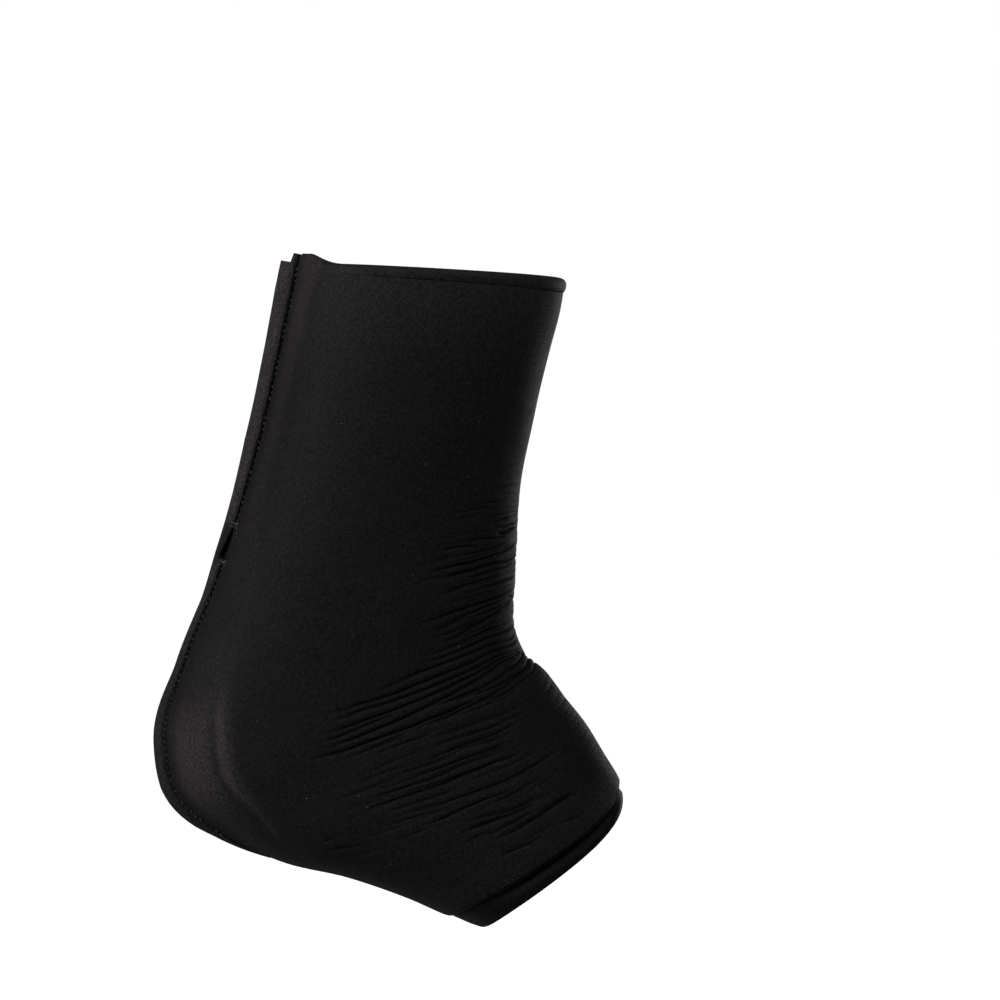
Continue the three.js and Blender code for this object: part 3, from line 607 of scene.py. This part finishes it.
SEAM_SHADE = (0.4, 1.3)  # distance from the seam between which the painted shade of its groove ends
SEAM_DARK = np.array([[0, 0.9], [4.5, 0.9], [6.0, 0.3], [8.8, 0.2], [9.6, 0.0]])  # section, and share of painted shade beside the seam
CREASE_DARK = 0.8  # share of painted shade at a crease's bottom line
CREASE_SHOWS = (0.05, 1.0)  # depths between which that begins and is full
EDGE_DARK, EDGE_TURN = 0.3, (1.6, 2.6)  # share of painted shade at the foot's turned edge, and the distances where it begins
EDGE_SHADE_LINE = (0.35, 1.9, 0.3)  # a painted shade line along it: share, distance and spread
EDGE_DEEP, EDGE_LIP = 0.9, (0.1, 0.7)  # and painted shade at its lip
EDGE_BARE = 0.6  # share of these that is missing under the foot


def stretch_painted_light_and_shade(place, turn):
    """How pale the knit is, how far it opens at the foot, and how much painted shade it has, from 0 to 1. The
    first is a table along the cloth, from beside the seam to the padding's edge: paler stretched knit that is
    also painted sheen.
    On the heel it drops in a valley of painted shade, a bell curve, rises in a painted highlight on that edge
    and dies out beyond it. Painted light makes it more at the top of the leg and on the instep's edge. The
    second rises towards the foot's edge under the foot. The third is painted shade, most beside the seam, at
    the bottom of creases, and where the cloth turns in at the foot's edge."""
    away = from_seam(turn)
    beyond = away - np.radians(column("pad_edge", place))
    share = np.interp(place, place_of(STRETCH_AND_PAINTED_SHEEN[:, 0]), STRETCH_AND_PAINTED_SHEEN[:, 1])
    on_heel = ramp(place, *place_of(HEEL_BEGINS))
    # Painted shade in the heel's valley, and a painted highlight on the padding's edge.
    valley = on_heel * bell(beyond, *HEEL_VALLEY_SHADE)
    light = on_heel * bell(beyond, *HEEL_HIGHLIGHT)
    heel = share * (ramp(away, *SEAM_PALE) * (1 - valley) * (1 - ramp(beyond, *PAD_FADE)) + light)
    # Painted light at the top of the leg and on the instep's edge.
    leg = LEG_PAINTED_LIGHT * (1 - ramp(place, BODY_TOP, place_of(LEG_ENDS)))
    from_edge = place - BODY_END
    instep = ramp(from_edge, *INSTEP_BEGINS) * (1 - ramp(np.abs(turn), *INSTEP_SIDES))
    foot = ramp(from_edge, *FOOT_BEGINS) * ramp(np.abs(turn), *FOOT_SIDES)
    # Painted shade beside the seam, at the bottom of creases and where the cloth turns in.
    beside = 1 - ramp(away * column("half", place), *SEAM_SHADE)
    beside = beside * np.interp(place, place_of(SEAM_DARK[:, 0]), SEAM_DARK[:, 1])
    creased = CREASE_DARK * ramp(creases_at(form(place, turn))[1], *CREASE_SHOWS)
    to_edge = fold_reach - from_edge
    edge_painted_shade = EDGE_DARK * (1 - ramp(to_edge, *EDGE_TURN)) + bell(to_edge, *EDGE_SHADE_LINE)
    edge_painted_shade = np.maximum(edge_painted_shade, EDGE_DEEP * (1 - ramp(to_edge, *EDGE_LIP)))
    edge_painted_shade = edge_painted_shade * (1 - EDGE_BARE * under_foot)
    return heel + leg + instep, foot, np.maximum(np.maximum(beside, creased), edge_painted_shade)


def mark(piece, shares):
    """Stores shares from 0 to 1 at a piece's points, for its material: paleness with painted light, the
    foot's opening, and painted shade.
    """
    for name, share in zip(("stretch_and_painted_light", "foot_stretch", "painted_groove_shade"), shares):
        piece.data.attributes.new(name, "FLOAT", "POINT").data.foreach_set("value", share.ravel())


mark(body, stretch_painted_light_and_shade(body_places, TURNS))
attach(body, "root")
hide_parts("sleeve_body")


# Leg hem
# The turned edge at the top of the leg: the knit folded over the core's end into a low roll, stitched from
# inside. A groove parts it from the body at the front and sides, and it lies flush beside the seam, where
# it rises.
HEM_BULGE = 0.8
RIM_PEAK = 4.7  # extra height at the seam
RIM_FADE = (0.22, 0.84)  # radians from the seam between which it falls away
HEM_GAP = 0.1  # at the groove, and hardly any beside the seam


def hem_height(place, turn):
    """The relief, with a roll that is proud in the middle of the hem's height: half a sine wave."""
    roll = np.sin(np.pi * np.clip(place / BODY_TOP, 0, 1))
    return relief(place, turn) + HEM_BULGE * roll * ramp(from_seam(turn), *HEM_FADE)


def rim_lift(place, turn):
    """The hem's rise to a low peak at the seam, which falls away round the tube and towards its lower
    edge."""
    return RIM_PEAK * (1 - place / BODY_TOP) * (1 - ramp(from_seam(turn), *RIM_FADE))


hem_end = BODY_TOP - HEM_GAP * (0.1 + 0.9 * hem_shows)
hem_points, hem_places = cloth_tube(
    0, hem_end, hem_height, np.linspace(0, 1, 16), np.linspace(0, 1, 4),
    (WALL / 2, 1.5, 2), (0.35 * hem_shows, 0.4, 2), rim_lift)
hem_knit = knit("black_turned_knit", "#171516", "#1c1a1b", "#2e2b2d", 0.8, 0.6, 0.12, 0.55, 0.009)
hem = surface("leg_hem_roll", hem_points, hem_knit)
mark(hem, stretch_painted_light_and_shade(hem_places, TURNS))
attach(hem, "root")
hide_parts("leg_hem")


# Foot cuff
# The smooth band at the foot's end: the same knit, doubled and turned in, held by a row of stitches under
# the edge. The body's rolled edge stands over it, and a deep groove lies between.
CUFF_GAP = 0.06  # so narrow that no light comes through
CUFF_SINK = 1.6  # how far the band lies in beside the groove
CUFF_RISE = 0.67  # share of the band's width over which it rises from there
CUFF_DARK, CUFF_SHADE = 0.8, 2  # share of painted shade, black, beside the groove, and how far it reaches
cuff_start = BODY_END + fold_reach


def cuff_height(place, turn):
    """The relief, sunk beside the groove and rising smoothly to flush over two thirds of the band's width."""
    sunk = 1 - ramp(place, cuff_start, BODY_END + (CUFF_END - BODY_END) * CUFF_RISE)
    return relief(place, turn) - CUFF_SINK * sunk * foot_fold / foot_fold.max()


cuff_points, cuff_places = cloth_tube(
    cuff_start + CUFF_GAP, CUFF_END, cuff_height, np.linspace(0, 1, 24), np.linspace(0, 1, 6),
    (0.5, 0.5, 2), (1.2, 1.4, 2))
cuff_knit = knit("black_doubled_knit", "#0c0b0b", "#100f0f", "#1b1a1a", 0.7, 0.5, 0.08, 0.55, 0.008)
cuff = surface("foot_cuff_band", cuff_points, cuff_knit)
# Painted shade, black, beside the groove under the body's edge.
cuff_painted_shade = CUFF_DARK * (1 - ramp(cuff_places, cuff_start, cuff_start + CUFF_SHADE))
mark(cuff, (0 * cuff_painted_shade, 0 * cuff_painted_shade, cuff_painted_shade))
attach(cuff, "root")
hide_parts("foot_cuff")


# Back seam
# The blank's two edges turned out and sewn together, from the leg's rim to under the heel. They stand up as
# a flat fin on a narrow neck, and the stitches lie in the groove on each side of it. A short length is
# left open.

# A row for each place along it, by section number: how far it stands out, its thickness, and the depth of its
# opening and how far out that reaches, as a share of the stand.
FIN_COLUMNS = ("section", "stand", "thick", "slit", "reach")
FIN_ROWS = np.array([
    [0.05, 6.8, 2.6, 0, 0.2],
    [0.8, 7.0, 2.6, 0, 0.2],
    [1.3, 7.2, 2.6, 0, 0.2],
    [2.0, 6.5, 2.6, 0, 0.2],
    [3.2, 6.0, 2.6, 0, 0.2],
    [3.9, 4.8, 2.5, 0, 0.2],
    [4.20, 4.5, 2.5, 0, 0.2],
    [4.36, 4.4, 2.5, 1.2, 0.24],
    [4.62, 4.3, 2.5, 2.0, 0.52],
    [4.68, 4.2, 2.5, 0, 0.52],
    [5.2, 3.3, 2.5, 0, 0.2],
    [6.2, 3.6, 2.5, 0, 0.2],
    [7.0, 4.9, 2.5, 0, 0.2],
    [7.8, 5.4, 2.5, 0, 0.2],
    [8.6, 3.8, 2.3, 0, 0.2],
    [9.2, 1.9, 2.0, 0, 0.2],
    [9.8, 0.2, 1.2, 0, 0.2],  # under the heel
])
FIN = dict(zip(FIN_COLUMNS, FIN_ROWS.T))
FIN_LEAN = 0.5  # how far it leans to +Y for each millimetre that it stands out beyond its thickest part
FIN_FOOT = 0.3  # where that is, as a share of its stand
FIN_TOP_RISE = 0.8  # share of the rim's rise that its root follows
FIN_TOP_STEP = (0.36, 0.44)  # share of its stand beyond which its top stays below that

# Its outline across, from its root to its tip. Columns: share of the stand, and shares of half the
# thickness on the near side and on the far side. The root is a narrow neck, so a groove lies beside it. A
# fold line runs near it, and the two edges part a little at the tip.
FIN_PROFILE = np.array([
    [-0.05, 0.25, 0.25], [0.03, 0.28, 0.28], [0.09, 0.55, 0.50], [0.15, 0.85, 0.75], [0.22, 0.98, 0.88],
    [0.27, 1.01, 0.93], [0.31, 0.88, 0.95], [0.35, 1.03, 0.95], [0.45, 1.00, 0.94], [0.54, 0.97, 0.92],
    [0.64, 0.92, 0.88], [0.75, 0.85, 0.82], [0.87, 0.70, 0.70], [0.95, 0.45, 0.45], [1.00, 0.14, 0.14],
    [0.97, 0.02, 0.02],
])
FIN_OUTLINE = np.vstack([FIN_PROFILE[:, :2] * [1, -1], FIN_PROFILE[::-1, ::2]])  # round both sides
NECK_FULL = ([5.0, 6.6, 8.6, 9.4], [0, 0.9, 0.9, 0])  # sections, and the neck's least half thickness
SLIT_WALL = 0.12  # share of the stand over which the opening's outer wall rises
FIN_PAINTED_LIGHT = ([0, 4.15, 4.35, 4.65, 4.8, 6.5], [1.0, 1.0, 0.2, 0.0, 0.6, 0.0])  # sections, and how much painted light makes it paler
NECK_SHADE = (0.0, 0.14)  # shares of the stand between which the painted shade of its neck ends
CURL_PAINTED_SHADE = ([4.18, 4.34, 4.64, 4.74], [0, 0.5, 0.55, 0])  # sections, and its painted shade where it curls in
CURL_SHADE = (0.65, 0.95)  # shares of the stand between which that ends
FIN_COUNT = 360  # places along it


def seam_line(section):
    """Points on the stitch line at section numbers, and the direction out of the cloth there."""
    place = place_of(section)
    out = outward(place, np.pi)
    return form(place, np.pi) + out * relief(place, np.pi + 0 * place)[..., None], out


def opening(section, outline):
    """Depth of the opening in the fin's near side: full from the root to its outer wall."""
    slit, reach = (np.interp(section, FIN["section"], FIN[name])[:, None] for name in ("slit", "reach"))
    return slit * (1 - ramp(outline[:, 0], reach - SLIT_WALL, reach)) * (outline[:, 1] < 0)


def fin_surface(section, outline, dent):
    """Points over the fin at section numbers: the outline's shares of the stand and of half the thickness.
    At the heel its neck is full. Beyond its thickest part it leans over, a dent pushes the near side in,
    and its root rises with the rim."""
    stand, thick = (np.interp(section, FIN["section"], FIN[name])[:, None] for name in ("stand", "thick"))
    root, out = seam_line(section)
    rise = FIN_TOP_RISE * rim_lift(place_of(section), np.pi)[:, None]
    rise = rise * (1 - ramp(outline[:, 0], *FIN_TOP_STEP))
    far = stand * outline[:, 0]
    full = np.interp(section, *NECK_FULL)[:, None] * (outline[:, 0] < FIN_FOOT)
    across = np.sign(outline[:, 1]) * np.maximum(np.abs(outline[:, 1]), full)
    aside = thick / 2 * across + dent + FIN_LEAN * np.maximum(far - FIN_FOOT * stand, 0)
    up = np.cross(np.array([0, 1, 0]), out)[:, None] * np.maximum(rise, 0)[..., None]
    return root[:, None] + out[:, None] * far[..., None] + np.array([0, 1, 0]) * aside[..., None] + up


# The seam's edge is paler than the face: painted light for the light its edge catches.
seam_knit_painted_light = knit("black_knit_edge_painted_light", "#1e1c1d", "#242223", "#2e2b2d", 0.8, 0.6, 0.10, 0.62, 0.012)
fin_sections = np.linspace(FIN["section"][0], FIN["section"][-1], FIN_COUNT)
fin_dent = opening(fin_sections, FIN_OUTLINE)
fin = surface("back_seam_fin", fin_surface(fin_sections, FIN_OUTLINE, fin_dent)[::-1], seam_knit_painted_light, ring=False)
# Painted light makes the fin paler.
fin_painted_light = np.interp(fin_sections, *FIN_PAINTED_LIGHT)[:, None]
# Painted shade darkens the fin's neck, its opening and where it curls in.
neck_painted_shade = np.interp(fin_sections, SEAM_DARK[:, 0], SEAM_DARK[:, 1])[:, None]
neck_painted_shade = neck_painted_shade * (1 - ramp(FIN_OUTLINE[:, 0], *NECK_SHADE))
curl_painted_shade = np.interp(fin_sections, *CURL_PAINTED_SHADE)[:, None]
curl_painted_shade = curl_painted_shade * (1 - ramp(FIN_OUTLINE[:, 0], *CURL_SHADE)) * (FIN_OUTLINE[:, 1] < 0)
fin_painted_shade = np.maximum(np.maximum(fin_dent / FIN["slit"].max(), neck_painted_shade), curl_painted_shade)
mark(fin, (fin_painted_light[::-1] + 0 * fin_painted_shade, 0 * fin_painted_shade, fin_painted_shade[::-1]))
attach(fin, "root")
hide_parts("back_seam")


# Seam thread
# Spun polyester sewing thread, black and a little glossy: a row of lock stitches in the groove on each side
# of the fin, a bar tack at each end of the opening, and a loose loop that hangs from the upper tack.
STITCH_RADIUS, TACK_RADIUS, LOOSE_RADIUS = 0.2, 0.13, 0.12
THREAD_SIDES = 7
THREAD_TIP = 0.45  # its radius at the ends, as a share
THREAD_ASIDE = [0.3, 1, 0.2]  # a direction that no thread runs in
THREAD_SWELL = 0.4  # how soon it gets its full radius, as a power


def threads(name, paths, radius):
    """Threads along paths of points, as one piece: a circle carried along each path, smaller towards its
    ends."""
    count, steps = paths.shape[:2]
    along = unit(np.gradient(paths, axis=1))
    side = unit(np.cross(along, THREAD_ASIDE))[:, :, None]
    up = np.cross(side, along[:, :, None])
    turn = np.linspace(0, 2 * np.pi, THREAD_SIDES, endpoint=False)[:, None]
    full = np.sin(np.pi * np.linspace(0, 1, steps)) ** THREAD_SWELL
    size = radius * (THREAD_TIP + (1 - THREAD_TIP) * full)[:, None, None]
    points = paths[:, :, None] + size * (np.cos(turn) * side + np.sin(turn) * up)
    index = np.arange(points[..., 0].size).reshape(count, steps, THREAD_SIDES)
    ahead = np.roll(index, -1, axis=2)
    quads = np.stack([index[:, :-1], index[:, 1:], ahead[:, 1:], ahead[:, :-1]], -1).reshape(-1, 4)
    ends = np.concatenate([index[:, 0], index[:, -1, ::-1]])
    piece = piece_of(name, points, quads.tolist() + ends.tolist(), thread)
    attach(piece, "root")
    return piece


# The thread's twist is about 0.6 mm long, and its glints are a painted highlight, a paler grey in bands along
# it.
thread = bpy.data.materials.new("black_spun_polyester_thread")
thread.use_nodes = True
thread_tree = thread.node_tree
thread_shader = thread_tree.nodes["Principled BSDF"]
thread_place = node(thread_tree, "ShaderNodeTexCoord", {}).outputs["Object"]
twist = node(thread_tree, "ShaderNodeTexWave", {"Vector": thread_place, "Scale": 1 / (2 * np.pi * 0.6 * MM),
                                                "Distortion": 2.0}, bands_direction="DIAGONAL").outputs[1]
thread_painted_highlight = node(thread_tree, "ShaderNodeMix", {0: twist, 6: linear("#0e0d0e"), 7: linear("#555355")},
                    data_type="RGBA").outputs[2]
thread_tree.links.new(thread_painted_highlight, thread_shader.inputs["Base Color"])
thread_shader.inputs["Roughness"].default_value = 0.5
thread_shader.inputs["Specular IOR Level"].default_value = 0.15

STITCH_PITCH = 2.4
STITCH_LENGTH = 1.2
STITCH_ASIDE = 1.1  # from the seam's middle
STITCH_STEPS = np.linspace(-0.5, 0.5, 5)
STITCH_BOW = 1.6  # how far its ends lie deeper, for each squared share of its length
STITCH_PULL = 0.25  # some stitches are pulled in this much more than others, or less
STITCH_PROUD = (0.15, 0.3)  # how far they lie out of the groove, and how much more at the heel
HEEL_STEPS = (450, 650)  # steps of the stitch line between which that comes
line_sections = np.linspace(0.3, 9.2, 900)
line, line_out = seam_line(line_sections)
line_length = np.append(0, np.cumsum(np.linalg.norm(np.diff(line, axis=0), axis=1)))
middles = np.arange(STITCH_LENGTH, line_length[-1] - STITCH_LENGTH, STITCH_PITCH)
shut = np.interp(np.interp(middles, line_length, line_sections), FIN["section"], FIN["slit"]) == 0
at = middles[shut][:, None] + STITCH_LENGTH * STITCH_STEPS
sewn = np.stack([np.interp(at, line_length, line[:, i]) for i in range(3)], -1)
sewn_out = np.stack([np.interp(at, line_length, line_out[:, i]) for i in range(3)], -1)
pulled = chance.uniform(-STITCH_PULL, STITCH_PULL, (len(at), 1, 1))
at_heel = np.interp(middles[shut], line_length[list(HEEL_STEPS)], [0, 1])[:, None, None]
proud = STITCH_PROUD[0] + STITCH_PROUD[1] * at_heel
sewn = sewn + sewn_out * (pulled + proud - STITCH_BOW * STITCH_STEPS[:, None] ** 2)
both_sides = np.concatenate([sewn - [0, STITCH_ASIDE, 0], sewn + [0, STITCH_ASIDE, 0]])
stitches = threads("seam_stitches", both_sides, STITCH_RADIUS)


def on_cloth(section, away, lift):
    """Points on the body beside the seam, on the near side: so far round from the seam, lifted off the
    cloth."""
    place = place_of(section)
    turn = away / column("half", place) - np.pi
    return form(place, turn) + outward(place, turn) * (relief(place, turn) + lift)[..., None]


# Each bar tack is a few strands across the groove, from the fin's face to the cloth beside it.
TACK_SECTIONS = (4.24, 4.72)
TACK_WIDTH = 0.03  # in sections
TACK_LANDS = (1.8, 3.4)  # how far from the seam its strands end, least and most
TACK_LIFT = 0.35  # how far they stand off the cloth at the fin
strand_sections = np.concatenate([middle + TACK_WIDTH * np.linspace(-1, 1, 7) for middle in TACK_SECTIONS])
slip = chance.normal(0, TACK_WIDTH, strand_sections.size)
landing = chance.uniform(*TACK_LANDS, strand_sections.size)
over_fin = fin_surface(strand_sections, FIN_OUTLINE[[4, 7, 8]] * [1, 1.12], 0)[:, ::-1]
over_cloth = [on_cloth(strand_sections + slip * share, landing * share, TACK_LIFT * (1 - share) + 0.05)
              for share in (0.4, 0.6, 0.8, 1.0)]
tacks = threads("bar_tacks", np.concatenate([over_fin, np.stack(over_cloth, 1)], 1), TACK_RADIUS)

LOOP_ROWS = np.array([  # section, distance round from the seam, lift
    [4.25, 1.9, 0.3], [4.30, 2.2, 0.5], [4.36, 2.8, 0.4], [4.42, 4.0, 0.3], [4.43, 5.4, 0.3],
    [4.38, 6.2, 0.4], [4.33, 5.8, 0.5], [4.28, 4.4, 0.6], [4.25, 2.8, 0.5], [4.24, 2.0, 0.3],
])
knots = np.arange(len(LOOP_ROWS))
loop_path = [np.interp(np.linspace(0, knots[-1], 41), knots, values) for values in LOOP_ROWS.T]
smooth = np.hanning(7)[1:-1] / np.hanning(7).sum()
loop_path = [np.convolve(np.pad(values, 2, mode="edge"), smooth, mode="valid") for values in loop_path]
loose_loop = threads("loose_thread", on_cloth(*loop_path)[None], LOOSE_RADIUS)


# Floor, light and camera
# A white table that glows, a white room, and five soft lights: a large one at the left that makes the heel
# and the seam pale, and weak ones that pick out the front edge. The camera looks straight at the near side
# from far away.
floor_size = 20.0
floor_level = -0.118
floor_mesh = bpy.data.meshes.new("floor")
floor_corners = np.array([[-1, -1, 0], [1, -1, 0], [1, 1, 0], [-1, 1, 0]]) * floor_size + [0, 0, floor_level]
floor_mesh.from_pydata(floor_corners.tolist(), [], [[0, 1, 2, 3]])
floor = bpy.data.objects.new("floor", floor_mesh)
bpy.context.scene.collection.objects.link(floor)
pale = bpy.data.materials.new("white_light_table")
pale.use_nodes = True
table = pale.node_tree
table_shader = table.nodes["Principled BSDF"].inputs
table_shader["Base Color"].default_value = linear("#9a9a9a")
table_shader["Roughness"].default_value = 1.0
table_shader["Specular IOR Level"].default_value = 0.0
table_shader["Emission Color"].default_value = (1, 1, 1, 1)
glow = node(table, "ShaderNodeLightPath", {}).outputs["Is Camera Ray"]
glow = node(table, "ShaderNodeMath", {0: glow, 1: 0.94, 2: 0.06}, operation="MULTIPLY_ADD").outputs[0]
table.links.new(glow, table_shader["Emission Strength"])
floor_mesh.materials.append(pale)

world = bpy.data.worlds.new("white_studio")
bpy.context.scene.world = world
world.use_nodes = True
sky = world.node_tree
sky.nodes.clear()
seen = node(sky, "ShaderNodeLightPath", {}).outputs["Is Camera Ray"]
lit = node(sky, "ShaderNodeBackground", {"Color": (1, 1, 1, 1), "Strength": 0.08}).outputs[0]
shown = node(sky, "ShaderNodeBackground", {"Color": (1, 1, 1, 1), "Strength": 1.0}).outputs[0]
mixed = node(sky, "ShaderNodeMixShader", {0: seen, 1: lit, 2: shown}).outputs[0]
node(sky, "ShaderNodeOutputWorld", {"Surface": mixed})


def softbox(name, location, size, power):
    """A square soft light that faces the ankle's centre."""
    lamp = bpy.data.lights.new(name, "AREA")
    lamp.size = size
    lamp.energy = power
    light = bpy.data.objects.new(name, lamp)
    bpy.context.scene.collection.objects.link(light)
    light.location = location
    towards = Vector((0, 0, 0.03)) - light.location
    light.rotation_euler = towards.to_track_quat("-Z", "Y").to_euler()


softbox("key_left", (-1.35, -0.55, 0.3), 0.8, 18.5)
softbox("rim_right", (0.5, 2.1, 0.15), 0.7, 2.2)
softbox("top_front", (0.22, -0.4, 0.58), 0.35, 1.5)
softbox("side_right", (0.78, 1.27, 0.12), 0.6, 2.4)
softbox("fill_right", (0.32, -0.24, 0.34), 0.2, 0.24)

CAMERA_FAR = 3.0
FRAME_WIDTH = 0.38  # metres across the picture at the object
camera_data = bpy.data.cameras.new("camera")
camera = bpy.data.objects.new("camera", camera_data)
bpy.context.scene.collection.objects.link(camera)
camera.location = (0.0456, -CAMERA_FAR, 0.0646)
camera.rotation_euler = (np.pi / 2, 0, 0)
camera_data.sensor_width = 36.0
camera_data.lens = 36.0 * CAMERA_FAR / FRAME_WIDTH
bpy.context.scene.camera = camera
bpy.context.scene.view_settings.view_transform = "Standard"
